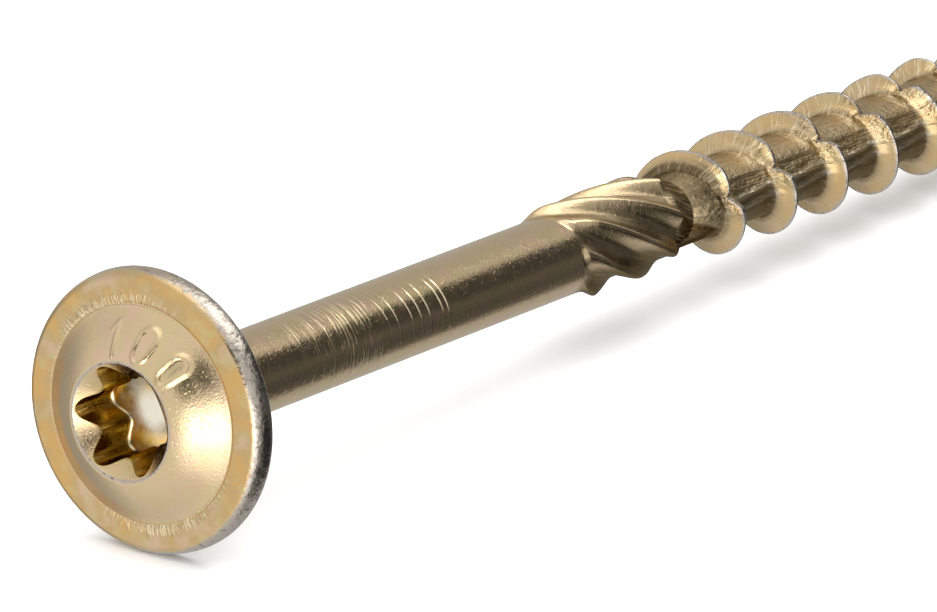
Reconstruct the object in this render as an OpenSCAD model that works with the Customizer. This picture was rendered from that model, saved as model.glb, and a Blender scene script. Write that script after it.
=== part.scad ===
// Wide-headed timber screw with a round shank, a ribbed shank cutter and a coarse thread.
// It lies on its side: the head rim and the last full thread crest touch the ground.
// Lengths are millimetres. The screw axis runs along X and the tip points to +X.

/* [Part to show] */
// One named piece, or the whole screw

/* [Overall] */
// Length from the bearing face of the head to the tip
screw_length = 100; // [80:1:120]
// Diameter over the thread crests
thread_diameter = 6; // [5.6:0.1:6.4]
// Diameter of the plain round shank
shank_diameter = 4.26; // [4.1:0.02:4.6]

/* [Head] */
// Diameter of the disc
head_diameter = 14; // [12:0.2:16]
// Thickness of the flat disc
disc_thickness = 1.35; // [1.1:0.05:1.6]
// Rounding of the front edge of the rim
rim_front_radius = 0.6; // [0.4:0.05:0.7]
// Rounding of the back edge of the rim
rim_back_radius = 0.35; // [0.2:0.05:0.45]
// Diameter of the foot of the raised dome
dome_foot_diameter = 10.7; // [10:0.1:11]
// Diameter of the flat lip round the drive recess
dome_top_diameter = 6.1; // [5.9:0.1:6.5]
// Height of the dome over the flat ring
dome_height = 1.55; // [1.3:0.05:1.8]
// How far the side of the dome bulges out from a straight cone
dome_bulge = 0.12; // [0:0.02:0.2]
// Diameter of the neck cone where it meets the bearing face
neck_diameter = 6.6; // [6.4:0.1:7]
// Length of the neck cone
neck_length = 2.2; // [1.6:0.1:3]

/* [Drive recess] */
// Number of lobes
lobe_count = 6; // [6:1:6]
// Diameter over the lobes
lobe_diameter = 5.52; // [5.3:0.02:5.6]
// Diameter over the ridges between the lobes
ridge_diameter = 3.98; // [3.9:0.02:4.1]
// Diameter of the round mouth
mouth_diameter = 5.66; // [5.6:0.02:5.8]
// Depth of the mouth cone at the ridges
mouth_depth = 0.8; // [0.6:0.05:1]
// Depth of the straight part of the recess below the lip
recess_depth = 2.9; // [2.4:0.1:3.2]
// Depth of the shallow cone in the floor
floor_cone_depth = 0.7; // [0.4:0.1:0.9]
// Turn of the lobes from the lowest point of the head
lobe_turn = 31.9; // [0:0.1:60]

/* [Shank cutter] */
// Distance from the bearing face to the middle of the cutter
cutter_middle = 35.95; // [34:0.05:40]
// Length of the cutter
cutter_length = 10.8; // [9:0.1:12]
// Number of ribs
rib_count = 7; // [5:1:8]
// Diameter over the ribs
rib_diameter = 5.2; // [4.9:0.05:5.4]
// Diameter in the grooves between the ribs
groove_diameter = 4.06; // [3.9:0.02:4.2]
// Length in which a rib makes one turn
rib_lead = 30; // [24:1:44]
// Turn of the ribs from the lowest point of the screw
rib_turn = -60.6; // [-180:0.1:180]
// How far the start of the cutter slants along the screw
cutter_slant = 1.05; // [0:0.05:1.5]

/* [Thread] */
// Distance between neighbouring crests
thread_pitch = 4.7; // [4.2:0.1:5.2]
// Diameter of the core between the crests
core_diameter = 3.8; // [3.6:0.05:4]
// Distance from the bearing face to the first full crest at the lowest point
thread_first_crest = 45.87; // [44:0.01:50]
// Width of the flat on a crest
crest_width = 0.18; // [0.14:0.02:0.3]
// Diameter at which the steep flight starts on its wide foot
flight_foot_diameter = 4.6; // [4.5:0.05:5]
// Width of the flight at that diameter
flight_foot_width = 0.8; // [0.6:0.02:0.9]
// Width of the foot where it meets the core
foot_width = 1.5; // [1.3:0.05:2]
// Length over which core and thread taper to the tip
tip_length = 7.85; // [7:0.05:10]
// Diameter of the blunted tip
tip_diameter = 0.3; // [0.2:0.05:0.5]
// Depth of the nick that the rolling seam leaves in each crest
nick_depth = 0.42; // [0:0.02:0.5]
// Width of a nick, in degrees of a turn
nick_width = 26; // [20:1:40]
// Turn of the first nick from the lowest point of the screw
nick_turn = -103.6; // [-180:0.1:180]
// Drift of the nicks along the screw, in degrees for each millimetre
nick_drift = -2; // [-3:0.1:0]

/* [Finish] */
// Number of steps in one turn of the thread
turn_steps = 36; // [24:6:48]
// Steps across each rib of the cutter
rib_steps = 8; // [6:2:10]
// Steps in each rounded edge of the head
edge_steps = 6; // [4:1:8]

/* [Hidden] */
$fn = 96;
steel = [0.78, 0.66, 0.45];

head_r = head_diameter / 2;
shank_r = shank_diameter / 2;
crest_r = thread_diameter / 2;
core_r = core_diameter / 2;
tip_r = tip_diameter / 2;
rib_r = rib_diameter / 2;
groove_r = groove_diameter / 2;
flight_r = flight_foot_diameter / 2;
foot_r = dome_foot_diameter / 2;
top_r = dome_top_diameter / 2;
mouth_r = mouth_diameter / 2;
ridge_r = ridge_diameter / 2;
lobe_r = lobe_diameter / 2;
neck_r = neck_diameter / 2;
lip_z = -disc_thickness - dome_height;

// Rim: two rounded edges and a short band between them
rim_front_r = head_r - rim_front_radius;
rim_back_r = head_r - rim_back_radius;
rim_front_z = rim_front_radius - disc_thickness;

// Cutter and thread stations along the axis
cutter_start = cutter_middle - cutter_length / 2;
cutter_end = cutter_middle + cutter_length / 2;
shank_end = cutter_start - cutter_slant - 0.6;
shank_overlap = 1.2;
join_gap = 0.03;
taper_start = screw_length - tip_length;

// Last full crest at the lowest point: the screw rests on it
rest_turns = floor((taper_start - thread_first_crest) / thread_pitch + 0.02);
rest_z = thread_first_crest + rest_turns * thread_pitch;

// Tilt at which the rim and that crest lie on one level
rest_run = rest_z + rim_back_radius;
rest_drop = rim_back_r - crest_r;
tilt = atan(rest_drop / rest_run)
    + asin(rim_back_radius / sqrt(rest_run * rest_run + rest_drop * rest_drop));
rest_lift = rest_z * sin(tilt) + crest_r * cos(tilt);

// Points of the head outline, from the lip of the recess to the bearing face
dome_steps = 2 * edge_steps;
dome_points = [for (i = [0 : dome_steps])
    let (f = i / dome_steps, ease = f * f * f * (4 - 3 * f))
    [top_r + (foot_r - top_r) * f,
     lip_z + dome_height * (0.86 * f + 0.14 * ease) - dome_bulge * sin(180 * f) * (1 - f)]];
front_edge = [for (i = [0 : edge_steps])
    let (a = 90 * i / edge_steps)
    [rim_front_r + rim_front_radius * sin(a), rim_front_z - rim_front_radius * cos(a)]];
back_edge = [for (i = [0 : edge_steps])
    let (a = 90 * i / edge_steps)
    [rim_back_r + rim_back_radius * cos(a), rim_back_radius * sin(a) - rim_back_radius]];
neck_points = [for (i = [0 : edge_steps])
    let (f = i / edge_steps)
    [shank_r + (neck_r - shank_r) * (1 - f) * (1 - f), neck_length * f]];
head_points = concat(dome_points, front_edge, back_edge, neck_points);

// Extent along X after tilting, used to centre the screw
front_x = min([for (p = head_points) p[1] * cos(tilt) - p[0] * sin(tilt)]);
tip_x = screw_length * cos(tilt) + tip_r * sin(tilt);
centre_x = (front_x + tip_x) / 2;

function soft(f) = f <= 0 ? 0 : f >= 1 ? 1 : f * f * (3 - 2 * f);
function mix(a, b, f) = a + (b - a) * f;

// Triangles between neighbouring rings of equal size, with both ends closed
function ring_faces(rings, n) = concat(
    [for (k = [0 : rings - 2], i = [0 : n - 1])
        [k * n + i, (k + 1) * n + i, (k + 1) * n + (i + 1) % n]],
    [for (k = [0 : rings - 2], i = [0 : n - 1])
        [k * n + i, (k + 1) * n + (i + 1) % n, k * n + (i + 1) % n]],
    [for (i = [1 : n - 2]) [0, i, i + 1]],
    [for (i = [1 : n - 2])
        [(rings - 1) * n, (rings - 1) * n + i + 1, (rings - 1) * n + i]]);

// Head disc, dome, neck and plain shank, turned as one shape with its seam beside the lowest line
seam_turn = 3.1;

module turned_body() {
    rotate([0, 0, seam_turn])
        rotate_extrude()
            polygon(concat([[0, lip_z]], head_points, [[shank_r, shank_end], [0, shank_end]]));
}

// Outline of the drive: rounded lobes joined by rounded ridges
function lobe_radius(a) =
    let (w = (1 + cos(lobe_count * a)) / 2)
    mix(ridge_r, lobe_r, mix(w, w * w * (3 - 2 * w), 0.35));

module drive_outline() {
    polygon([for (i = [0 : lobe_count * 16 - 1])
        let (a = 360 * i / (lobe_count * 16))
        lobe_radius(a) * [cos(a), sin(a)]]);
}

// Lobed hole with a cone in its floor and a countersunk mouth
module drive_recess() {
    rotate([0, 0, lobe_turn])
        translate([0, 0, lip_z - 1])
            linear_extrude(recess_depth + 1)
                drive_outline();
    translate([0, 0, lip_z + recess_depth - 0.05])
        cylinder(h = floor_cone_depth, r1 = ridge_r * 0.94, r2 = 0.3);
    mouth_slope = (mouth_r - ridge_r) / mouth_depth;
    translate([0, 0, lip_z - 0.5])
        cylinder(h = mouth_depth + 0.6, r1 = mouth_r + 0.5 * mouth_slope, r2 = ridge_r - 0.1 * mouth_slope);
}

// Height of a rib at angle a round the cutter
function rib_wave(a) =
    let (w = (1 + cos(rib_count * a)) / 2)
    groove_r + (rib_r - groove_r) * pow(w, 0.8);

// The ribs rise slowly on one side of the screw and steeply on the other
function cutter_point(a, z, end) =
    let (
        side = sin(a + 118),
        begin = cutter_start + cutter_slant * (1 + side),
        ramp = 1.6 - 1.2 * side,
        rise = soft((z - begin) / ramp),
        fall = 1 - soft((z - end + 1.2) / 1.2),
        rib = rib_wave(a - rib_turn - 360 * (z - cutter_middle) / rib_lead),
        inner = mix(shank_r - join_gap, core_r + 0.1, soft((z - end + 1.2) / 1.2)))
    mix(inner, rib, rise * fall);

cutter_rows = [for (f = [0 : 1 / 26 : 1.0001])
    mix(shank_end - shank_overlap, cutter_end + 0.6, pow(f, 0.9))];
cutter_columns = rib_count * rib_steps;

module shank_cutter() {
    polyhedron(
        points = [for (z = cutter_rows, i = [0 : cutter_columns - 1])
            let (
                a = 360 * i / cutter_columns + 360 * (z - cutter_middle) / rib_lead,
                r = cutter_point(a, z, cutter_end))
            [r * cos(a), r * sin(a), z]],
        faces = ring_faces(len(cutter_rows), cutter_columns),
        convexity = 6);
}

// Core and thread wound as one strip; each step turns by one part of a circle
strip_start = cutter_end - 1.65;
strip_turns = ceil((screw_length - 0.4 - strip_start) / thread_pitch) - 1;
steps_total = strip_turns * turn_steps;
strip_phase = -360 * (thread_first_crest - strip_start - foot_width / 2) / thread_pitch;

function taper(z) = min(1, max(0, (screw_length - z) / tip_length));
function core_at(z) = mix(tip_r, core_r, taper(z));
function strip_radius(z, full) = mix(tip_r, full, taper(z));
function turned(a) = a - 360 * round(a / 360);
function nick_at(a, z) =
    max(0, 1 - abs(turned(a - nick_turn - nick_drift * (z - thread_first_crest))) * 2 / nick_width);

// Profile across one pitch: offset along the screw and full radius there
strip_profile = [
    [-foot_width / 2, core_r],
    [-flight_foot_width / 2, flight_r],
    [-crest_width / 2, crest_r],
    [crest_width / 2, crest_r],
    [flight_foot_width / 2, flight_r],
    [foot_width / 2, core_r]];
profile_count = len(strip_profile);

function strip_point(i, j) =
    let (
        a = strip_phase + 360 * i / turn_steps,
        mid = strip_start + thread_pitch * i / turn_steps + foot_width / 2,
        fade = soft(i / (0.7 * turn_steps)),
        z = min(screw_length, mid + strip_profile[j][0]),
        full = strip_profile[j][1],
        nick = full > flight_r ? nick_depth * nick_at(a, z) : 0,
        r = mix(core_at(z), strip_radius(z, full - nick), fade))
    [r * cos(a), r * sin(a), z];

function strip_index(i, j) = i * profile_count + j;

strip_points =
    [for (i = [0 : steps_total + turn_steps], j = [0 : profile_count - 1]) strip_point(i, j)];

module thread_and_core() {
    n = turn_steps;
    m = profile_count;
    last = steps_total;
    tip_point = len(strip_points);
    start_point = tip_point + 1;
    polyhedron(
        points = concat(strip_points, [[0, 0, screw_length], [0, 0, strip_start - 0.3]]),
        faces = concat(
            [for (i = [0 : last - 1], j = [0 : m - 2])
                [strip_index(i, j), strip_index(i, j + 1), strip_index(i + 1, j + 1)]],
            [for (i = [0 : last - 1], j = [0 : m - 2])
                [strip_index(i, j), strip_index(i + 1, j + 1), strip_index(i + 1, j)]],
            [for (i = [0 : last - 1])
                [strip_index(i, m - 1), strip_index(i + n, 0), strip_index(i + n + 1, 0)]],
            [for (i = [0 : last - 1])
                [strip_index(i, m - 1), strip_index(i + n + 1, 0), strip_index(i + 1, m - 1)]],
            [for (j = [0 : m - 2]) [start_point, strip_index(0, j + 1), strip_index(0, j)]],
            [[start_point, strip_index(n, 0), strip_index(0, m - 1)]],
            [for (i = [0 : n - 1]) [start_point, strip_index(i, 0), strip_index(i + 1, 0)]],
            [for (j = [0 : m - 2]) [tip_point, strip_index(last, j), strip_index(last, j + 1)]],
            [[tip_point, strip_index(last, m - 1), strip_index(last + n, 0)]],
            [for (i = [last : last + n - 1])
                [tip_point, strip_index(i + 1, 0), strip_index(i, 0)]]),
        convexity = 12);
}

module screw() {
    color(steel)
        translate([-centre_x, 0, rest_lift])
            rotate([0, 90 + tilt, 0])
                union() {
                    difference() {
                        turned_body();
                        drive_recess();
                    }
                    shank_cutter();
                    thread_and_core();
                }
}

screw();
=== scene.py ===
import math

import bmesh
import bpy
import numpy as np
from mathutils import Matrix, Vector


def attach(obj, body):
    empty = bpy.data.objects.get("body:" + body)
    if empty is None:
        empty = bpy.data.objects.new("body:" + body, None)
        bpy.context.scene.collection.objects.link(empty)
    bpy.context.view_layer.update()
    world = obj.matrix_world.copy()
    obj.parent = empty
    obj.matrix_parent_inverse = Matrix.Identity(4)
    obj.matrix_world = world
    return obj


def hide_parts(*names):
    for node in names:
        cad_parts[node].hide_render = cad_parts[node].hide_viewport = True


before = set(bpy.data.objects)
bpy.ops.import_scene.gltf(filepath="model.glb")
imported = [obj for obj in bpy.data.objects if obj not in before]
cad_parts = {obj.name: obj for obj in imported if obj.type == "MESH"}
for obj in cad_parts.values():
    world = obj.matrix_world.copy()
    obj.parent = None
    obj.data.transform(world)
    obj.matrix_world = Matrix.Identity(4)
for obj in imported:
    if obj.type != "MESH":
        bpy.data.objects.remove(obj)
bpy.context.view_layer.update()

MM = 0.001

# Head
HEAD_R = 7.0
DISC_THICKNESS = 1.35
RIM_FRONT_RADIUS = 0.6
RIM_BACK_RADIUS = 0.35
DOME_FOOT_R = 5.35
DOME_TOP_R = 3.05
DOME_HEIGHT = 1.55
DOME_BULGE = 0.12
DOME_FOOT_EASE = 0.14
FOOT_GROOVE_DEPTH = 0.05
FOOT_GROOVE_WIDTH = 0.07
NECK_R = 3.3
NECK_LENGTH = 2.2
LIP_Z = -DISC_THICKNESS - DOME_HEIGHT

# Drive recess
LOBES = 6
LOBE_R = 2.76
RIDGE_R = 1.99
MOUTH_R = 2.83
MOUTH_DEPTH = 0.8
RECESS_DEPTH = 2.9
FLOOR_DISH_DEPTH = 0.7
LOBE_TURN = 31.9
LOBE_ROUNDING = 0.35
WALL_DRAFT = 0.05
WALL_EDGE = 0.12
LIP_EDGE = 0.03
LIP_RELIEF = 0.01

# Shank and cutter
SHANK_R = 2.13
CUTTER_MIDDLE = 35.95
CUTTER_LENGTH = 10.8
RIBS = 7
RIB_R = 2.6
GROOVE_R = 2.03
RIB_LEAD = 30.0
RIB_TURN = -54.6
CUTTER_SLANT = 1.05
CUTTER_START = CUTTER_MIDDLE - CUTTER_LENGTH / 2
CUTTER_END = CUTTER_MIDDLE + CUTTER_LENGTH / 2
CUTTER_MARGIN = 0.6

# Thread and tip
SCREW_LENGTH = 100.0
PITCH = 4.7
CREST_R = 3.0
CORE_R = 1.9
FIRST_CREST = 45.87
CREST_WIDTH = 0.18
FLIGHT_FOOT_R = 2.3
FLIGHT_FOOT_WIDTH = 0.8
FOOT_WIDTH = 1.5
TIP_LENGTH = 7.85
TIP_R = 0.15
NICK_DEPTH = 0.75
NICK_RUN = 36.0
NICK_RUN_SHARPNESS = 1.7
NICK_STEP = 15.0
NICK_TURN = -113.0
NICK_DRIFT = -3.0

# Marks that the rolling dies leave: a torn shelf beside each nick, a rough facet and two seams on the core
SHELF_TURN = 32.0
SHELF_EDGE = 7.0
SHELF_REACH = 0.42
SHELF_BEAT = 0.05
FACET_FROM = -12.0
FACET_TO = 12.0
FACET_EDGE = 6.0
FACET_DEPTH = 0.1
SEAM_TURN = 17.0
SEAM_STEP = 18.0
SEAM_SLANT = 3.0
SEAM_WIDTH = 3.2
SEAM_HEIGHT = 0.07

# Angle from the lowest line of the screw to the side that the camera faces
NEAR_TURN = -118.2

# Fineness of the mesh, with the columns closest together where the digits are
COLUMNS = 240
COLUMN_CROWDING = 26.0
CROWDED_TURN = -165.0
TURN_STEPS = 132
FLOOR_RINGS = 10
WALL_RINGS = 13
CONE_RINGS = 8
DOME_RINGS = 56
FLAT_RINGS = 19
RIM_RINGS = 13
RIM_BACK_RINGS = 9
BEARING_RINGS = 5
NECK_RINGS = 9
SHANK_FRONT_RINGS = 7
SHANK_BACK_RINGS = 5
CUTTER_RINGS = 83

# Resting pose: the rim and the last full crest touch the floor
REST_Z = FIRST_CREST + math.floor((SCREW_LENGTH - TIP_LENGTH - FIRST_CREST) / PITCH + 0.02) * PITCH
REST_RUN = REST_Z + RIM_BACK_RADIUS
REST_DROP = HEAD_R - RIM_BACK_RADIUS - CREST_R
TILT = math.atan(REST_DROP / REST_RUN) + math.asin(RIM_BACK_RADIUS / math.hypot(REST_RUN, REST_DROP))
REST_LIFT = REST_Z * math.sin(TILT) + CREST_R * math.cos(TILT)
FRONT_X = LIP_Z * math.cos(TILT) - DOME_TOP_R * math.sin(TILT)
TIP_X = SCREW_LENGTH * math.cos(TILT) + TIP_R * math.sin(TILT)
CENTRE_X = (FRONT_X + TIP_X) / 2


def to_row(points):
    """Turns points given as (down, side, along the screw) into row metres."""
    p = np.asarray(points, float)
    down, side, along = p[..., 0], p[..., 1], p[..., 2]
    c, s = math.cos(TILT), math.sin(TILT)
    x = along * c - down * s - CENTRE_X
    z = REST_LIFT - down * c - along * s
    return np.stack([x, side, z], -1) * MM


def soft(f):
    f = np.clip(f, 0, 1)
    return f * f * (3 - 2 * f)


def mix(a, b, f):
    return a + (b - a) * f


def bump(x, width):
    return np.exp(-(x / width) ** 2)


def shares(count):
    """Even steps that end at 1, without the 0 that the ring before them holds."""
    return np.linspace(0, 1, count + 1)[1:]


def turned(a):
    """The same angle between -180 and 180 degrees."""
    return a - 360 * np.round(a / 360)


def uneven(x, y):
    """A smooth irregular surface between about -1 and 1; x and y in millimetres."""
    a = np.sin(5.1 * x + 1.7 * np.sin(3.7 * y + 0.6))
    b = np.sin(6.3 * y + 1.9 * np.sin(4.3 * x + 2.2))
    c = np.sin(9.7 * x - 7.9 * y + 1.3 * np.sin(2.9 * x))
    return (a + b + 0.7 * c) / 2.7


# Raised digits on the dome, which give the length of the screw

DIGIT_HEIGHT = 1.5
DIGIT_WIDTH = 0.86
DIGIT_STROKE = 0.1
DIGIT_RELIEF = 0.12
DIGIT_LEAN = 0.2
DIGIT_R = 3.95
DIGIT_TURNS = {"1": (-191.0,), "0": (-166.0, -138.0)}


def stroke(u, v, start, end):
    """Distance from the line between two points."""
    du, dv = end[0] - start[0], end[1] - start[1]
    f = np.clip(((u - start[0]) * du + (v - start[1]) * dv) / (du * du + dv * dv), 0, 1)
    return np.hypot(u - start[0] - f * du, v - start[1] - f * dv)


def digit_relief(a, r):
    """Height of the raised figures at angle a and radius r."""
    relief = np.zeros_like(r)
    v = r - DIGIT_R
    half = DIGIT_HEIGHT / 2
    for turn in DIGIT_TURNS["0"]:
        u = np.radians(turned(a - turn)) * DIGIT_R
        straight = half - DIGIT_WIDTH / 2
        outline = stroke(u, v, (0, -straight), (0, straight)) - DIGIT_WIDTH / 2
        relief += bump(outline, DIGIT_STROKE)
    for turn in DIGIT_TURNS["1"]:
        u = np.radians(turned(a - turn)) * DIGIT_R
        stem = stroke(u, v, (0, -half), (0, half))
        flag = stroke(u, v, (0, half), (-0.28, half - 0.34))
        relief += bump(np.minimum(stem, flag), DIGIT_STROKE)
    return np.clip(relief, 0, 1) * DIGIT_RELIEF


# Finish of the surface, with its painted shade and painted highlights, kept with each point of the mesh

MASKS = ("tan", "silver", "amber", "brown", "bright", "dark", "hammer", "lines")


def finish(shape, **values):
    """One number for each mask at each point of a ring."""
    return np.stack([np.broadcast_to(values.get(name, 0.0), shape) for name in MASKS], -1)


# Grain: a place for the noise, drawn out so that its spots become lines

FINE = 7.0
COARSE = 0.5


def round_points(a, r, z):
    """Points round the axis from arrays or numbers of any matching shape."""
    a, r, z = np.broadcast_arrays(np.radians(a), r, z)
    return np.stack([r * np.cos(a), r * np.sin(a), z], -1)


def lengthwise(a, r, z):
    """Grain whose lines lie side by side round the axis."""
    return round_points(a, FINE * r, COARSE * z)


def crosswise(a, r, z):
    """Grain whose lines run round the axis."""
    return round_points(a, COARSE * r, FINE * z)


class Ring:
    """A ring of points round the axis, with its grain and its finish."""

    def __init__(self, a, r, z, grain, **values):
        self.points = round_points(a, r, z)
        self.grain = grain
        self.masks = finish(a.shape, **values)


# Head, shank and cutter, as rings of points round the axis

def lobe_radius(a):
    w = (1 + np.cos(np.radians(LOBES * a))) / 2
    return mix(RIDGE_R, LOBE_R, mix(w, soft(w), LOBE_ROUNDING))


def floor_z(r):
    """Place along the axis of the dished floor at a radius."""
    return LIP_Z + RECESS_DEPTH + FLOOR_DISH_DEPTH * (1 - r / LOBE_R)


def recess_rings(a):
    """From the middle of the floor, up the lobed wall and out over the mouth cone."""
    rings = []
    wall = lobe_radius(a - LOBE_TURN)
    grain = lengthwise(a, 2, 0)
    for f in np.linspace(0.01, 1, FLOOR_RINGS):
        # The floor of the recess is painted a pale highlight colour
        rings.append(Ring(a, wall * f, floor_z(wall * f), grain, bright=1.0))
    foot_z = floor_z(wall)
    slope = (MOUTH_R - RIDGE_R) / MOUTH_DEPTH
    top_z = LIP_Z + (MOUTH_R - wall) / slope
    for f in shares(WALL_RINGS):
        depth = np.clip((mix(foot_z, top_z, f) - LIP_Z) / RECESS_DEPTH, 0, 1)
        edges = bump(f, WALL_EDGE) + bump(f - 1, WALL_EDGE)
        # Painted shade on the walls, growing with depth and at their top and foot edges
        rings.append(Ring(a, wall - WALL_DRAFT * (1 - f), mix(foot_z, top_z, f), grain,
                          amber=0.7 + 0.3 * soft(depth * 1.6), dark=0.6 * depth + 0.3 * edges))
    for f in shares(CONE_RINGS):
        rings.append(Ring(a, mix(wall, MOUTH_R, f), mix(top_z, LIP_Z + LIP_EDGE, f), grain,
                          amber=0.35 * (1 - f), silver=0.4 * f ** 8))
    return rings


def dome_outline(f):
    """Radius and place along the axis of the dome, from its top to its eased foot."""
    radius = mix(DOME_TOP_R, DOME_FOOT_R, f)
    swell = DOME_BULGE * np.sin(np.pi * f) * (1 - f)
    return radius, LIP_Z + DOME_HEIGHT * mix(f, f ** 3 * (4 - 3 * f), DOME_FOOT_EASE) - swell


STROKE_TURN = -22.0
STROKE_SPREAD = 38.0
STROKE_R = DOME_FOOT_R + 0.25
STROKE_LENGTH = 0.3


def ring_strokes(a, r):
    """Where the punch has left short radial strokes on the flat ring; they are lightened with a painted
    highlight.
    """
    across = np.minimum(np.abs(turned(a - STROKE_TURN)), np.abs(turned(a - STROKE_TURN - 180)))
    return bump(across, STROKE_SPREAD) * bump(r - STROKE_R, STROKE_LENGTH)


def front_rings(a):
    """From the lip of the recess over the dome and the flat ring."""
    rings = []
    for r, worn in ((MOUTH_R + 0.04, 0.85), (MOUTH_R + 0.1, 0.75), (MOUTH_R + 0.16, 0.35)):
        rings.append(Ring(a, r, LIP_Z - LIP_RELIEF, lengthwise(a, 6, r), silver=worn))
    for f in np.linspace(0, 1, DOME_RINGS):
        r, z = dome_outline(f)
        relief = digit_relief(a, r * np.ones_like(a))
        rings.append(Ring(a, r - relief * DIGIT_LEAN, z - relief, lengthwise(a, 6, r),
                          lines=0.6 * ring_strokes(a, r)))
    flat_r = HEAD_R - RIM_FRONT_RADIUS
    for f in shares(FLAT_RINGS):
        r = mix(DOME_FOOT_R, flat_r, f ** 1.4)
        groove = FOOT_GROOVE_DEPTH * bump(r - DOME_FOOT_R - FOOT_GROOVE_WIDTH, FOOT_GROOVE_WIDTH)
        rings.append(Ring(a, r, -DISC_THICKNESS + groove, lengthwise(a, 10, 2.5 * r), tan=soft(f * 3),
                          lines=2.4 * ring_strokes(a, r)))
    return rings


# Wear of the rim: most on one side, where it begins closer to the flat ring

WORN_TURN = NEAR_TURN + 38.0
WORN_FROM = (34.0, 6.0)
WORN_STEP = 36.0


def rim_rings(a):
    """From the flat ring round the rim to the bearing side, the neck and the shank."""
    rings = []
    flat_r = HEAD_R - RIM_FRONT_RADIUS
    near = soft((1 + np.cos(np.radians(a - WORN_TURN))) / 2) ** 2
    for t in shares(RIM_RINGS) * math.pi / 2:
        r = flat_r + RIM_FRONT_RADIUS * math.sin(t)
        z = (DISC_THICKNESS - RIM_BACK_RADIUS) * (1 - math.cos(t)) - DISC_THICKNESS
        worn = soft((math.degrees(t) - mix(*WORN_FROM, near)) / WORN_STEP)
        rings.append(Ring(a, r, z, lengthwise(a, 6, z), tan=1 - worn, silver=worn * mix(0.48, 0.9, near),
                          hammer=0.3 * worn))
    for t in np.linspace(0, math.pi / 2, RIM_BACK_RINGS):
        r = HEAD_R - RIM_BACK_RADIUS * (1 - math.cos(t))
        z = -RIM_BACK_RADIUS * (1 - math.sin(t))
        rings.append(Ring(a, r, z, lengthwise(a, 6, z), silver=mix(0.55, 0.9, near), hammer=0.3))
    for f in shares(BEARING_RINGS):
        r = mix(HEAD_R - RIM_BACK_RADIUS, NECK_R, f)
        rings.append(Ring(a, r, 0, lengthwise(a, 6, r), tan=0.5, silver=0.4 * (1 - f)))
    for f in shares(NECK_RINGS):
        r = SHANK_R + (NECK_R - SHANK_R) * (1 - f) ** 2
        rings.append(Ring(a, r, NECK_LENGTH * f, crosswise(a, r, NECK_LENGTH * f)))
    return rings


# Wear of the shank: fine scuffs, and scratches at set places, both lightened with a painted highlight

SCUFF_Z = 13.5
SCUFF_SPREAD = 5.0
SCRATCHES = (15.6, 16.3, 17.4, 18.1, 18.8, 19.85, 20.3)
SCRATCH_DEPTH = 0.04
SCRATCH_HALF_WIDTH = 0.05
SCRATCH_ARC = 30.0
SCRATCH_TURN = -6.0
SCRATCH_SLANT = 0.006
SCRATCH_MARGIN = 1.2


def scratch_rings(a, z, depth):
    """One shallow scratch part of the way round the shank, with a painted highlight along its bottom."""
    away = turned(a - NEAR_TURN)
    arc = bump(away - SCRATCH_TURN, SCRATCH_ARC)
    slanted = z + SCRATCH_SLANT * away
    rings = []
    for step, share in ((-2, 0.0), (-1, 0.0), (0, 1.0), (1, 0.0), (2, 0.0)):
        edge = slanted + step * SCRATCH_HALF_WIDTH
        rings.append(Ring(a, SHANK_R - share * depth * arc, edge, crosswise(a, SHANK_R, edge),
                          bright=0.7 * share * arc))
    return rings


def shank_rings(a):
    """The plain shank, scuffed and scratched about the middle of its length."""
    rings = []
    for z in mix(NECK_LENGTH, SCRATCHES[0] - SCRATCH_MARGIN, shares(SHANK_FRONT_RINGS)):
        scuffs = 0.8 * bump(z - SCUFF_Z, SCUFF_SPREAD)
        rings.append(Ring(a, SHANK_R, z, crosswise(a, SHANK_R, z), lines=scuffs))
    for k, z in enumerate(SCRATCHES):
        rings += scratch_rings(a, z, SCRATCH_DEPTH * mix(0.5, 1, k / (len(SCRATCHES) - 1)))
    last = CUTTER_START - CUTTER_MARGIN
    for z in np.linspace(SCRATCHES[-1] + SCRATCH_MARGIN, last, SHANK_BACK_RINGS):
        rings.append(Ring(a, SHANK_R, z, crosswise(a, SHANK_R, z)))
    return rings


# Ribs of the cutter: long and soft on the far side, steep on the near side

RIB_SHARPNESS = 1.8
RIB_STEP_LENGTH = (1.6, 0.2)
RIB_RISE_LENGTH = 1.7
RIB_SOFT_SHARE = 0.6
RIB_FALL_BEFORE = (0.9, 1.25)
RIB_FALL_LENGTH = (2.4, 0.35)
SHORT_RIB_TURN = NEAR_TURN - 15.0
SINK_BEFORE = 1.2
SINK_LENGTH = 1.8
SINK_DEPTH = 0.2
FORMED_AFTER = 1.0
FORMED_LENGTH = 1.5
ENDED_BEFORE = 1.6
ENDED_LENGTH = 0.5
# Where the painted shade on the lower side of the cutter begins, and how soon it is full
UNDER_TURN = 20.0
UNDER_EDGE = 28.0


def rib_radius(a):
    w = (1 + np.cos(np.radians(RIBS * a))) / 2
    return mix(GROOVE_R, RIB_R, w ** RIB_SHARPNESS)


def rib_rise(a, z):
    """How far the ribs have risen; they start on a slanted line."""
    side = np.sin(np.radians(a - NEAR_TURN))
    near = np.clip(np.cos(np.radians(a - NEAR_TURN)), 0, 1)
    begin = CUTTER_START + CUTTER_SLANT * (1.15 + side * (1 - near))
    step = soft((z - begin) / mix(*RIB_STEP_LENGTH, soft(near * 1.6 + 0.3 * side)))
    return mix(step, soft((z - begin) / RIB_RISE_LENGTH), RIB_SOFT_SHARE)


def rib_fall(a, z):
    """How much of the ribs is left towards their ends."""
    short = soft(1.6 * np.cos(np.radians(a - SHORT_RIB_TURN)))
    middle = CUTTER_END - mix(*RIB_FALL_BEFORE, short)
    return 1 - soft((z - middle) / mix(*RIB_FALL_LENGTH, short) + 0.5)


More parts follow.
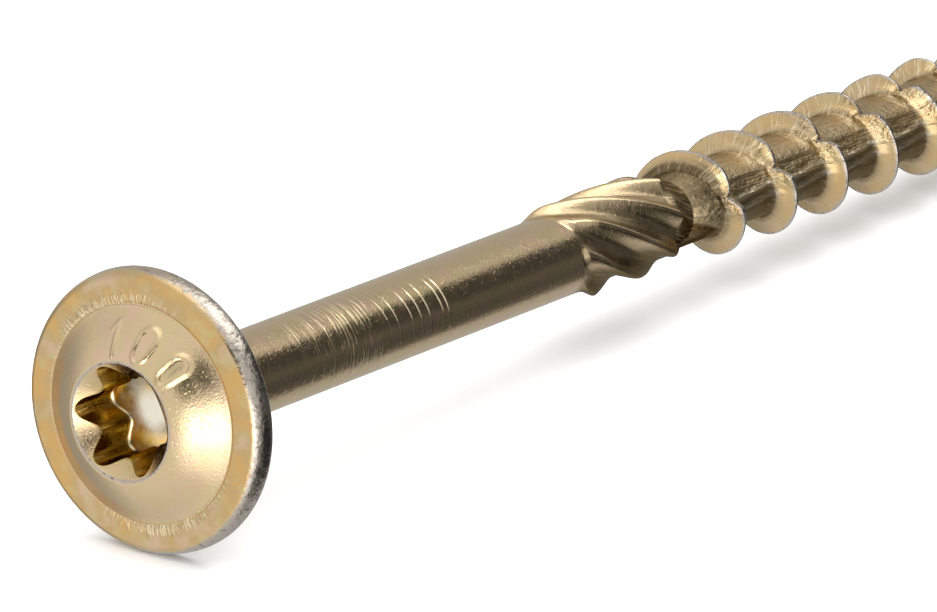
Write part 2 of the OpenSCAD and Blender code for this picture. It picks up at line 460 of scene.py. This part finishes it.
def cutter_radius(a, z):
    rib = rib_radius(a - RIB_TURN - 360 * (z - CUTTER_MIDDLE) / RIB_LEAD)
    inner = mix(SHANK_R, CORE_R - SINK_DEPTH, soft((z - CUTTER_END + SINK_BEFORE) / SINK_LENGTH))
    return mix(inner, rib, rib_rise(a, z) * rib_fall(a, z))


def cutter_rings(a):
    """Rings that turn with the ribs; the last ones sink into the first turn of the thread."""
    rings = []
    first = CUTTER_START - CUTTER_MARGIN
    for z in mix(first, CUTTER_END + CUTTER_MARGIN, shares(CUTTER_RINGS)):
        twisted = a + 360 * (z - first) / RIB_LEAD
        r = cutter_radius(twisted, z)
        formed = soft((z - CUTTER_START - FORMED_AFTER) / FORMED_LENGTH)
        ended = soft((z - CUTTER_END + ENDED_BEFORE) / ENDED_LENGTH)
        deep = np.clip((RIB_R - r) / (RIB_R - GROOVE_R), 0, 1)
        under = soft((turned(twisted - NEAR_TURN) - UNDER_TURN) / UNDER_EDGE)
        # Deep in the grooves and past the rib ends the colour is browned and painted with shade; the lower
        # side gets painted shade too
        rings.append(Ring(twisted, r, z, lengthwise(a, 2.3, z), lines=0.3 * formed * deep + 0.5 * ended,
                          brown=np.maximum(0.5 * formed * deep, ended),
                          dark=formed * np.maximum(0.3 * deep, 0.65 * under) + 0.5 * ended,
                          hammer=0.12 * formed + 0.5 * ended))
    return rings


def body_rings():
    """All rings from the middle of the recess to the end of the cutter."""
    even = np.arange(COLUMNS) * 360 / COLUMNS
    a = even - COLUMN_CROWDING * np.sin(np.radians(even - CROWDED_TURN))
    return recess_rings(a) + front_rings(a) + rim_rings(a) + shank_rings(a) + cutter_rings(a)


def grid_faces(rows, columns):
    faces = []
    for k in range(rows - 1):
        for i in range(columns):
            j = (i + 1) % columns
            faces.append((k * columns + i, k * columns + j,
                          (k + 1) * columns + j, (k + 1) * columns + i))
    return faces


# Thread, core and tip, wound as one strip

STRIP_START = CUTTER_END - 1.65
STRIP_CAP_Z = STRIP_START - 0.3
TIP_MARGIN = 0.4
STRIP_TURNS = math.ceil((SCREW_LENGTH - TIP_MARGIN - STRIP_START) / PITCH) - 1
STRIP_PHASE = -360 * (FIRST_CREST - STRIP_START - FOOT_WIDTH / 2) / PITCH
MID_R = (FLIGHT_FOOT_R + CREST_R) / 2
FLIGHT_PROFILE = [
    (-FOOT_WIDTH / 2, CORE_R),
    (-FOOT_WIDTH * 0.36, CORE_R + 0.1),
    (-FLIGHT_FOOT_WIDTH / 2 - 0.1, FLIGHT_FOOT_R - 0.08),
    (-FLIGHT_FOOT_WIDTH / 2 + 0.04, FLIGHT_FOOT_R + 0.05),
    (-CREST_WIDTH / 2 - 0.15, MID_R - 0.1),
    (-CREST_WIDTH / 2 - 0.06, MID_R + 0.1),
    (-CREST_WIDTH / 2, CREST_R - 0.03),
    (-CREST_WIDTH / 2 + 0.03, CREST_R),
    (CREST_WIDTH / 2 - 0.03, CREST_R),
    (CREST_WIDTH / 2, CREST_R - 0.03),
    (CREST_WIDTH / 2 + 0.08, MID_R),
    (FLIGHT_FOOT_WIDTH / 2 - 0.04, FLIGHT_FOOT_R + 0.05),
    (FLIGHT_FOOT_WIDTH / 2 + 0.1, FLIGHT_FOOT_R - 0.08),
    (FOOT_WIDTH * 0.36, CORE_R + 0.1),
]
GAP_STEPS = 6
STRIP_PROFILE = FLIGHT_PROFILE + [
    (mix(FOOT_WIDTH / 2, PITCH - FOOT_WIDTH / 2, k / GAP_STEPS), CORE_R) for k in range(GAP_STEPS)]

# How the strip begins and how it is worn: stripes beside the nicks; and painted shade on its lower side
FADE_TURNS = 0.7
MARKS_FADE = 1.2
FIRST_TURN_LENGTH = 2.2
FIRST_TURN_FADE = 1.6
STRIPES_TURN = -45.0
STRIPES_SPREAD = 50.0
LOWER_SIDE_EDGE = 10.0
LOWER_SIDE_END = 110.0
LOWER_SIDE_FADE = 30.0
CREST_EDGE = 0.05


def taper(z):
    return np.clip((SCREW_LENGTH - z) / TIP_LENGTH, 0, 1)


def from_nick(a, z):
    """Angle from the line of the nicks, positive on the side where the dies overlap."""
    return turned(a - NICK_TURN - NICK_DRIFT * (z - FIRST_CREST))


def nick_share(away):
    """How deep the nick is: the crest falls slowly towards it and rises steeply behind it."""
    falling = np.clip(1 + away / NICK_RUN, 0, 1) ** NICK_RUN_SHARPNESS
    rising = np.clip(1 - away / NICK_STEP, 0, 1)
    return np.where(away < 0, falling, rising)


def core_marks(near_turn, offset, z):
    """Rough facet on the near side of the core, and the two slanted seams below it."""
    facet = soft((near_turn - FACET_FROM) / FACET_EDGE) * (1 - soft((near_turn - FACET_TO) / FACET_EDGE))
    beat = 0.35 * uneven(np.radians(near_turn) * CORE_R * 1.4, z * 1.3) - 1
    across = near_turn - SEAM_TURN + SEAM_SLANT * (np.mod(offset, PITCH) - PITCH / 2)
    seam = bump(across, SEAM_WIDTH) + bump(across - SEAM_STEP, SEAM_WIDTH)
    return FACET_DEPTH * facet * beat + SEAM_HEIGHT * seam, facet, seam


class Strip:
    """The strip: a row for each step along it, a column for each point of its profile."""

    def __init__(self):
        i = np.arange((STRIP_TURNS + 1) * TURN_STEPS + 1)[:, None]
        self.offset = np.array([p[0] for p in STRIP_PROFILE])[None, :]
        self.full = np.array([p[1] for p in STRIP_PROFILE])[None, :]
        self.low = np.clip((self.full - CORE_R) / (CREST_R - CORE_R), 0, 1)
        self.fade = soft(i / (FADE_TURNS * TURN_STEPS))
        self.a = STRIP_PHASE + 360 * i / TURN_STEPS
        even_z = STRIP_START + PITCH * i / TURN_STEPS + FOOT_WIDTH / 2 + self.offset
        self.near_turn = turned(self.a - NEAR_TURN)
        self.away = from_nick(self.a, even_z)
        torn = np.clip(1 - self.away / SHELF_TURN, 0, 1) * soft((self.away + SHELF_EDGE) / SHELF_EDGE)
        self.shelf = torn * (self.offset < 0) * self.low
        self.marks, self.facet, self.seam = core_marks(self.near_turn, self.offset, even_z)
        self.r, self.z = self.surface(even_z)
        self.points = round_points(self.a, self.r, self.z)
        self.grain = lengthwise(self.a, CREST_R, self.full + 1.5 * self.z)
        self.masks = self.wear_and_painted_light()

    def surface(self, z):
        """Radius and place along the axis, with nicks, shelves, marks and the taper of the tip."""
        height = np.clip((self.full - FLIGHT_FOOT_R) / (CREST_R - FLIGHT_FOOT_R), 0, 1)
        nick = NICK_DEPTH * nick_share(self.away) * height
        beaten = uneven(np.radians(self.away) * CREST_R * 1.5, self.full * 2.2 + 0.3 * z)
        marks = self.marks * soft((z - CUTTER_END - CUTTER_MARGIN) / MARKS_FADE)
        full_r = self.full - nick + marks * (1 - self.low) + SHELF_BEAT * self.shelf * beaten
        pushed = SHELF_REACH * self.shelf * (1 + 0.4 * beaten) * (1 - 0.45 * height)
        z = np.minimum(SCREW_LENGTH, z - self.fade * taper(z) * pushed)
        r = mix(mix(TIP_R, CORE_R, taper(z)), mix(TIP_R, full_r, taper(z)), self.fade)
        return r, z

    def wear_and_painted_light(self):
        """Tan flight with a worn crest, darker core, and streaks and beaten metal by the nicks, with
        painted shade between the flights and painted highlights on the seams and lines.
        """
        start = 1 - soft((self.z - CUTTER_END - FIRST_TURN_LENGTH) / FIRST_TURN_FADE)
        bare = 1 - soft(self.low * 4 - 0.6 - 1.1 * start)
        striped = (self.offset < 0) * soft(self.low * 3) * bump(self.away - STRIPES_TURN, STRIPES_SPREAD)
        lower_side = soft((self.near_turn - SEAM_TURN) / LOWER_SIDE_EDGE)
        lower_side = lower_side * (1 - soft((self.near_turn - LOWER_SIDE_END) / LOWER_SIDE_FADE))
        crinkled = soft(self.shelf * 3)
        # Painted shade between the flights, heavier on the lower side and on the first turn by the cutter,
        # and darker on the rough facet
        dark = np.maximum(mix(0.22, 0.58, lower_side), np.maximum(0.5 * self.facet, 0.9 * start))
        hammer = np.maximum(1.5 * crinkled, 0.9 * self.facet)
        lines = 0.9 * striped + 0.4 * bare * (1 + self.facet) + 0.5 * crinkled
        return finish(
            self.r.shape,
            tan=0.9 * (1 - bare) * self.fade,
            silver=0.7 * (self.full > CREST_R - CREST_EDGE) * self.fade,
            brown=np.maximum(bare, 0.45),
            # A painted highlight along the seams on the core
            bright=0.6 * bare * self.seam * (1 - start),
            dark=bare * dark,
            hammer=np.maximum(hammer, bare * mix(0.45, 0.8, start)),
            lines=lines * (1 - 0.6 * start))


def strip_faces(first):
    """Faces of the strip; the last profile point of a turn meets the first one of the next."""
    m = len(STRIP_PROFILE)
    n = TURN_STEPS
    faces = []
    for i in range(STRIP_TURNS * n):
        for j in range(m - 1):
            a, b = first + i * m + j, first + (i + 1) * m + j
            faces.append((a, a + 1, b + 1, b))
        a, b = first + i * m + m - 1, first + (i + 1) * m + m - 1
        faces.append((a, first + (i + n) * m, first + (i + n + 1) * m, b))
    return faces


def strip_end_faces(first, start, tip):
    """Fans that close the strip inside the cutter and at the tip."""
    m = len(STRIP_PROFILE)
    n = TURN_STEPS
    last = STRIP_TURNS * n
    faces = [(start, first + j + 1, first + j) for j in range(m - 1)]
    faces.append((start, first + n * m, first + m - 1))
    faces += [(start, first + i * m, first + (i + 1) * m) for i in range(n)]
    faces += [(tip, first + last * m + j, first + last * m + j + 1) for j in range(m - 1)]
    faces.append((tip, first + last * m + m - 1, first + (last + n) * m))
    faces += [(tip, first + (i + 1) * m, first + i * m) for i in range(last, last + n)]
    return faces


# The whole screw as one mesh

def screw_data():
    """Points, grain, masks and faces of the screw."""
    rings = body_rings()
    strip = Strip()
    rows = len(rings)
    first = rows * COLUMNS
    ends = first + strip.r.size
    # Middle points that close the two ends of the strip, the floor of the recess and the end of the cutter
    caps = [[0, 0, z] for z in (STRIP_CAP_Z, SCREW_LENGTH, floor_z(0), CUTTER_END + CUTTER_MARGIN)]
    # The middle point of the recess floor carries the same painted highlight
    cap_masks = finish((len(caps),), bright=np.array([0, 0, 1.0, 0]))
    points = [np.stack([r.points for r in rings]), strip.points, caps]
    grain = [np.stack([r.grain for r in rings]), strip.grain, np.zeros((len(caps), 3))]
    masks = [np.stack([r.masks for r in rings]), strip.masks, cap_masks]
    faces = grid_faces(rows, COLUMNS) + strip_faces(first) + strip_end_faces(first, ends, ends + 1)
    for i in range(COLUMNS):
        j = (i + 1) % COLUMNS
        faces.append((ends + 2, i, j))
        faces.append((ends + 3, (rows - 1) * COLUMNS + i, (rows - 1) * COLUMNS + j))
    joined = [np.concatenate([np.reshape(p, (-1, n)) for p in parts])
              for parts, n in ((points, 3), (grain, 3), (masks, len(MASKS)))]
    return *joined, faces


def keep_attribute(mesh, name, kind, field, values):
    """Stores one value or vector for each point of the mesh."""
    layer = mesh.attributes.new(name, kind, "POINT")
    layer.data.foreach_set(field, np.ascontiguousarray(values, np.float32).ravel())


MERGE_METRES = 1e-7
SHARP_ANGLE = 42.0


def add_screw():
    points, grain, masks, faces = screw_data()
    mesh = bpy.data.meshes.new("timber_screw")
    mesh.from_pydata(to_row(points).tolist(), [], faces)
    keep_attribute(mesh, "place", "FLOAT_VECTOR", "vector", points)
    keep_attribute(mesh, "grain", "FLOAT_VECTOR", "vector", grain)
    for k, name in enumerate(MASKS):
        keep_attribute(mesh, name, "FLOAT", "value", masks[:, k])
    work = bmesh.new()
    work.from_mesh(mesh)
    bmesh.ops.remove_doubles(work, verts=work.verts, dist=MERGE_METRES)
    bmesh.ops.dissolve_degenerate(work, edges=work.edges, dist=MERGE_METRES)
    bmesh.ops.recalc_face_normals(work, faces=work.faces)
    work.to_mesh(mesh)
    work.free()
    mesh.shade_smooth()
    mesh.set_sharp_from_angle(angle=math.radians(SHARP_ANGLE))
    screw = bpy.data.objects.new("timber_screw", mesh)
    bpy.context.scene.collection.objects.link(screw)
    return screw


# Colours of the plating, and of its painted shade and painted highlights

GOLD = (0.735, 0.56, 0.325, 1)
PINKISH = (0.74, 0.53, 0.37, 1)
GREENISH = (0.66, 0.56, 0.29, 1)
TAN = (0.62, 0.435, 0.2, 1)
ORANGE = (0.72, 0.45, 0.17, 1)
AMBER = (0.46, 0.285, 0.035, 1)
BROWN = (0.54, 0.415, 0.24, 1)
SILVER = (0.55, 0.485, 0.41, 1)
SOOT = (0.2, 0.17, 0.14, 1)
# Colour of the painted shade
PAINTED_SHADE_BROWN = (0.14, 0.1, 0.05, 1)
# Colour of the painted highlights
PAINTED_HIGHLIGHT_PALE = (0.95, 0.88, 0.72, 1)
PAINTED_LINE_HIGHLIGHT = (0.87, 0.71, 0.46, 1)


# Short forms for shader nodes

def put(tree, socket, value):
    """Links a socket, or sets the number or colour on it."""
    if isinstance(value, bpy.types.NodeSocket):
        tree.links.new(value, socket)
    else:
        socket.default_value = value


def attribute(tree, name, output="Fac"):
    node = tree.nodes.new("ShaderNodeAttribute")
    node.attribute_name = name
    return node.outputs[output]


def calc(tree, operation, a, b):
    node = tree.nodes.new("ShaderNodeMath")
    node.operation = operation
    put(tree, node.inputs[0], a)
    put(tree, node.inputs[1], b)
    return node.outputs[0]


def stretch(tree, vector, scale):
    node = tree.nodes.new("ShaderNodeVectorMath")
    node.operation = "MULTIPLY"
    put(tree, node.inputs[0], vector)
    node.inputs[1].default_value = scale
    return node.outputs[0]


def span(tree, value, low, high, to_low=0.0, to_high=1.0):
    """Maps low..high to to_low..to_high and stays there beyond both ends."""
    node = tree.nodes.new("ShaderNodeMapRange")
    for socket, number in zip(node.inputs[:5], (value, low, high, to_low, to_high)):
        put(tree, socket, number)
    return node.outputs[0]


def noise(tree, vector, scale, detail=2.0):
    node = tree.nodes.new("ShaderNodeTexNoise")
    put(tree, node.inputs["Vector"], vector)
    node.inputs["Scale"].default_value = scale
    node.inputs["Detail"].default_value = detail
    return node.outputs[0]


def blend(tree, a, b, factor):
    node = tree.nodes.new("ShaderNodeMix")
    node.data_type = "RGBA"
    put(tree, node.inputs[0], factor)
    put(tree, node.inputs[6], a)
    put(tree, node.inputs[7], b)
    return node.outputs[2]


def add_bump(tree, height, distance, before=None):
    """Bump of a height between 0 and 1; distance in millimetres."""
    node = tree.nodes.new("ShaderNodeBump")
    put(tree, node.inputs["Height"], height)
    node.inputs["Distance"].default_value = distance * MM
    if before:
        tree.links.new(before, node.inputs["Normal"])
    return node.outputs[0]


# Materials, with the heights of the relief in millimetres

PIT_HEIGHT = 0.003
GRIT_HEIGHT = 0.006
LINE_HEIGHT = 0.02
BEAT_HEIGHT = 0.12


def plating_colour_with_painted_light(tree, place, lines):
    """Yellow chromate over zinc: gold with pink, green and orange clouds, worn to zinc on edges, with
    painted shade and painted highlights laid over.
    """
    cloud = noise(tree, place, 0.55, 3)
    cloud_two = noise(tree, stretch(tree, place, (1, 1, 0.8)), 0.9, 2)
    colour = blend(tree, GOLD, PINKISH, span(tree, cloud, 0.48, 0.62, 0, 0.6))
    colour = blend(tree, colour, GREENISH, span(tree, cloud_two, 0.5, 0.64, 0, 0.45))
    warm = blend(tree, TAN, ORANGE, span(tree, cloud, 0.48, 0.6, 0, 1.0))
    warm = blend(tree, warm, PINKISH, span(tree, cloud, 0.36, 0.48, 0.7, 0))
    warm = blend(tree, warm, GREENISH, span(tree, cloud_two, 0.52, 0.66, 0, 0.5))
    colour = blend(tree, colour, warm, attribute(tree, "tan"))
    colour = blend(tree, colour, BROWN, attribute(tree, "brown"))
    colour = blend(tree, colour, AMBER, attribute(tree, "amber"))
    # Painted shade: darker brown deep in the recess and the cutter's grooves, on lower sides and between
    # the flights
    colour = blend(tree, colour, PAINTED_SHADE_BROWN, attribute(tree, "dark"))
    # Painted highlight: pale on the recess floor, in the shank's scratches and along the seams
    colour = blend(tree, colour, PAINTED_HIGHLIGHT_PALE, attribute(tree, "bright"))
    # Drawn lines, scuffs and punch strokes lightened towards cream: real marks with a painted highlight
    colour = blend(tree, colour, PAINTED_LINE_HIGHLIGHT, span(tree, lines, 0, 1, 0, 0.8))
    specks = span(tree, noise(tree, place, 3.5, 3), 0.54, 0.7, 0, 0.8)
    zinc = blend(tree, SILVER, SOOT, specks)
    uneven_edge = span(tree, noise(tree, place, 3, 2), 0.3, 0.7, -0.14, 0.14)
    ragged = calc(tree, "ADD", attribute(tree, "silver"), uneven_edge)
    return blend(tree, colour, zinc, span(tree, ragged, 0.35, 0.65))


def drawn_lines(tree):
    """Fine lines along the grain, closer together where the mask is strong."""
    amount = attribute(tree, "lines")
    streaks = noise(tree, attribute(tree, "grain", "Vector"), 1, 2)
    streaks = calc(tree, "ADD", streaks, calc(tree, "MULTIPLY", amount, 0.045))
    return calc(tree, "MULTIPLY", span(tree, streaks, 0.54, 0.7), amount)


def edge_colour(tree):
    """Reflection at a flat angle: white, but darkened brown where shade is painted, and amber in the
    recess.
    """
    edge = blend(tree, (1, 1, 1, 1), PAINTED_SHADE_BROWN, attribute(tree, "dark"))
    return blend(tree, edge, AMBER, attribute(tree, "amber"))


def plating_roughness(tree, place):
    satin = span(tree, noise(tree, place, 2.2, 3), 0.3, 0.7, 0.14, 0.25)
    glossy = span(tree, attribute(tree, "amber"), 0, 1, 0, -0.07)
    dull = span(tree, attribute(tree, "brown"), 0, 1, 0, 0.12)
    dull = calc(tree, "ADD", dull, span(tree, attribute(tree, "dark"), 0, 1, 0, 0.12))
    return calc(tree, "ADD", satin, calc(tree, "ADD", glossy, dull))


def plating_relief(tree, place, lines):
    """Pits, grit, drawn lines and hammer marks, too fine for the mesh."""
    pits = span(tree, noise(tree, place, 9, 3), 0.35, 0.65)
    pits = calc(tree, "MULTIPLY", pits, span(tree, attribute(tree, "bright"), 0, 1, 1, 0.2))
    normal = add_bump(tree, pits, PIT_HEIGHT)
    grit = span(tree, noise(tree, place, 6, 2), 0.6, 0.72)
    grit = calc(tree, "MULTIPLY", grit, span(tree, attribute(tree, "bright"), 0, 1, 1, 0))
    normal = add_bump(tree, grit, GRIT_HEIGHT, normal)
    normal = add_bump(tree, span(tree, lines, 0, 1), LINE_HEIGHT, normal)
    beats = calc(tree, "MULTIPLY", noise(tree, place, 3.4, 4), attribute(tree, "hammer"))
    return add_bump(tree, beats, BEAT_HEIGHT, normal)


def plated_steel():
    material = bpy.data.materials.new("plated_steel")
    material.use_nodes = True
    tree = material.node_tree
    shader = tree.nodes["Principled BSDF"]
    shader.inputs["Metallic"].default_value = 1.0
    place = attribute(tree, "place", "Vector")
    lines = drawn_lines(tree)
    tree.links.new(plating_colour_with_painted_light(tree, place, lines), shader.inputs["Base Color"])
    tree.links.new(edge_colour(tree), shader.inputs["Specular Tint"])
    tree.links.new(plating_roughness(tree, place), shader.inputs["Roughness"])
    tree.links.new(plating_relief(tree, place, lines), shader.inputs["Normal"])
    return material


def floor_finish():
    material = bpy.data.materials.new("floor_finish")
    material.use_nodes = True
    shader = material.node_tree.nodes["Principled BSDF"]
    shader.inputs["Base Color"].default_value = (0.95, 0.95, 0.95, 1)
    shader.inputs["Roughness"].default_value = 0.9
    shader.inputs["Specular IOR Level"].default_value = 0.1
    return material


# Stage, lights and camera

FLOOR_METRES = 4.0


def add_floor():
    bpy.ops.mesh.primitive_plane_add(size=FLOOR_METRES, location=(0, 0, 0))
    floor = bpy.context.object
    floor.name = "floor"
    floor.data.materials.append(floor_finish())
    floor.visible_glossy = False


def add_light(name, place, side, power):
    """A square light aimed at the origin, seen in no polished metal; place and side are in metres."""
    light = bpy.data.lights.new(name, "AREA")
    light.shape = "SQUARE"
    light.size = side
    light.energy = power
    lamp = bpy.data.objects.new(name, light)
    lamp.location = place
    lamp.rotation_euler = (-Vector(place)).to_track_quat("-Z", "Y").to_euler()
    lamp.visible_glossy = False
    bpy.context.scene.collection.objects.link(lamp)


# Camera: where it stands from the rim in millimetres, and its angles in degrees
IMAGE_WIDTH = 937
FOCAL_PIXELS = 9000.0
SENSOR_MM = 36.0
CAMERA_FROM_RIM = (-313.07, -247.88, 147.15)
CAMERA_PITCH = 19.57
CAMERA_YAW = -53.8


def add_camera():
    data = bpy.data.cameras.new("camera")
    data.sensor_width = SENSOR_MM
    data.lens = FOCAL_PIXELS / IMAGE_WIDTH * SENSOR_MM
    data.clip_start, data.clip_end = 0.01, 20
    camera = bpy.data.objects.new("camera", data)
    rim = to_row([0, 0, RIM_FRONT_RADIUS - DISC_THICKNESS])
    camera.location = Vector(rim) + Vector(CAMERA_FROM_RIM) * MM
    camera.rotation_euler = (math.radians(90 - CAMERA_PITCH), 0, math.radians(CAMERA_YAW))
    bpy.context.scene.collection.objects.link(camera)
    bpy.context.scene.camera = camera


# Sides of the studio that the metal mirrors. Each row gives a direction, the nearness to it at which the
# side begins and is full, and then the share of light that is left or the light that is added.
PALE_FROM_TIP_TO_HEAD = (-0.8, 0.6, 0.5, 0.9)
DARK_SIDES = (
    ((0.748, -0.658, -0.078), 0.74, 0.81, 0.24),
    ((0.765, -0.558, 0.318), 0.93, 0.97, 0.5),
    ((0.3, -0.8, -0.52), 0.82, 0.92, 0.25),
    ((-0.8, -0.4, 0.44), 0.965, 0.985, 0.08),
    ((0.08, 0.92, -0.38), 0.8, 0.95, 0.6),
)
BRIGHT_SIDES = (
    ((-0.66, -0.68, -0.32), 0.82, 0.95, 0.9),
    ((-0.78, -0.6, -0.17), 0.95, 0.99, 1.8),
    ((0.42, -0.35, 0.84), 0.92, 0.97, 1.3),
    ((0.1, -0.1, 0.99), 0.8, 0.93, 0.8),
)


def facing(tree, direction, side):
    """How nearly a direction points to one side, from -1 to 1."""
    node = tree.nodes.new("ShaderNodeVectorMath")
    node.operation = "DOT_PRODUCT"
    tree.links.new(direction, node.inputs[0])
    node.inputs[1].default_value = side
    return node.outputs["Value"]


def add_world():
    """A studio that is pale all round, with darker sides and brighter panels."""
    world = bpy.data.worlds.new("studio")
    world.use_nodes = True
    tree = world.node_tree
    direction = tree.nodes.new("ShaderNodeTexCoord").outputs["Generated"]
    level = span(tree, facing(tree, direction, (-1, 0, 0)), *PALE_FROM_TIP_TO_HEAD)
    for side, begins, full, left in DARK_SIDES:
        shade = span(tree, facing(tree, direction, side), begins, full, 1.0, left)
        level = calc(tree, "MULTIPLY", level, shade)
    for side, begins, full, added in BRIGHT_SIDES:
        glow = span(tree, facing(tree, direction, side), begins, full, 0.0, added)
        level = calc(tree, "ADD", level, glow)
    tree.links.new(level, tree.nodes["Background"].inputs["Strength"])
    tree.nodes["Background"].inputs["Color"].default_value = (0.98, 0.99, 1.0, 1)
    bpy.context.scene.world = world


# The scene

screw = add_screw()
screw.data.materials.append(plated_steel())
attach(screw, "root")
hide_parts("screw")

add_floor()
add_light("top_light", (-0.1, 0.1, 0.7), 1.4, 10)
add_light("left_light", (-0.6, -0.5, 0.4), 0.15, 0.6)
add_camera()
add_world()
bpy.context.scene.view_settings.view_transform = "Standard"
